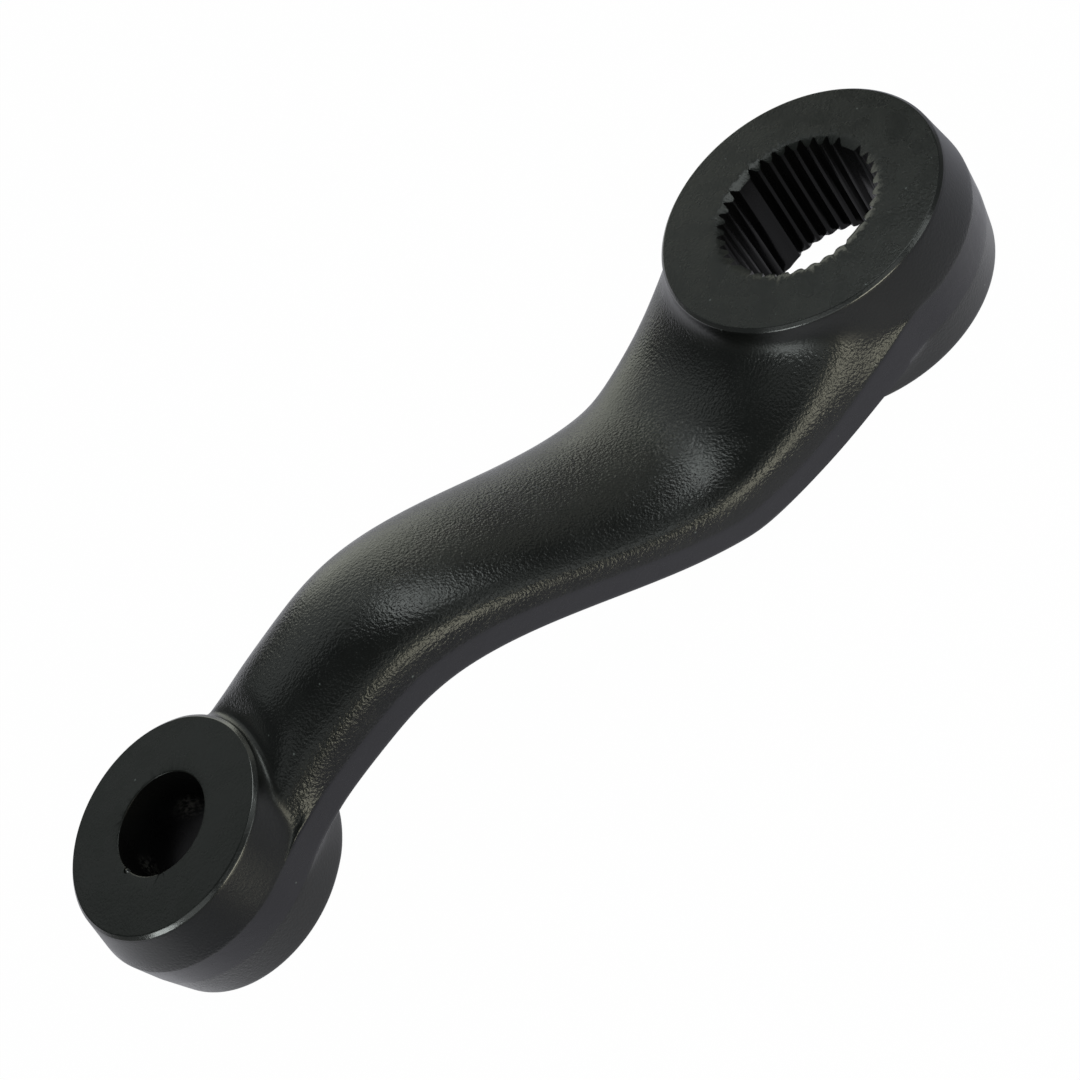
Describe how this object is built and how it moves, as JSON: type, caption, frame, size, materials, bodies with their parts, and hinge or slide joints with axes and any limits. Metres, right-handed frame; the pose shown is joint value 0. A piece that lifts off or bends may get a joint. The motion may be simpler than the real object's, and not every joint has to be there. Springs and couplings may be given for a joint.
{
  "type": "pitman arm",
  "caption": "Forged steering arm with an S-bend: a large boss with a serrated bore at one end and a small boss with a tapered bore at the other.",
  "frame": {"origin": "on the serrated shaft bore's axis, at the large boss's machined face", "axes": "+Z along the shaft bore, out of the machined face; the arm runs towards -X to the tapered bore"},
  "size_m": [0.2074, 0.059, 0.0494],
  "materials": {
    "satin_black_coating": "satin black coating over a forged steel skin"
  },
  "bodies": {
    "root": {"pitman_arm": "satin_black_coating"}
  },
  "joints": []
}
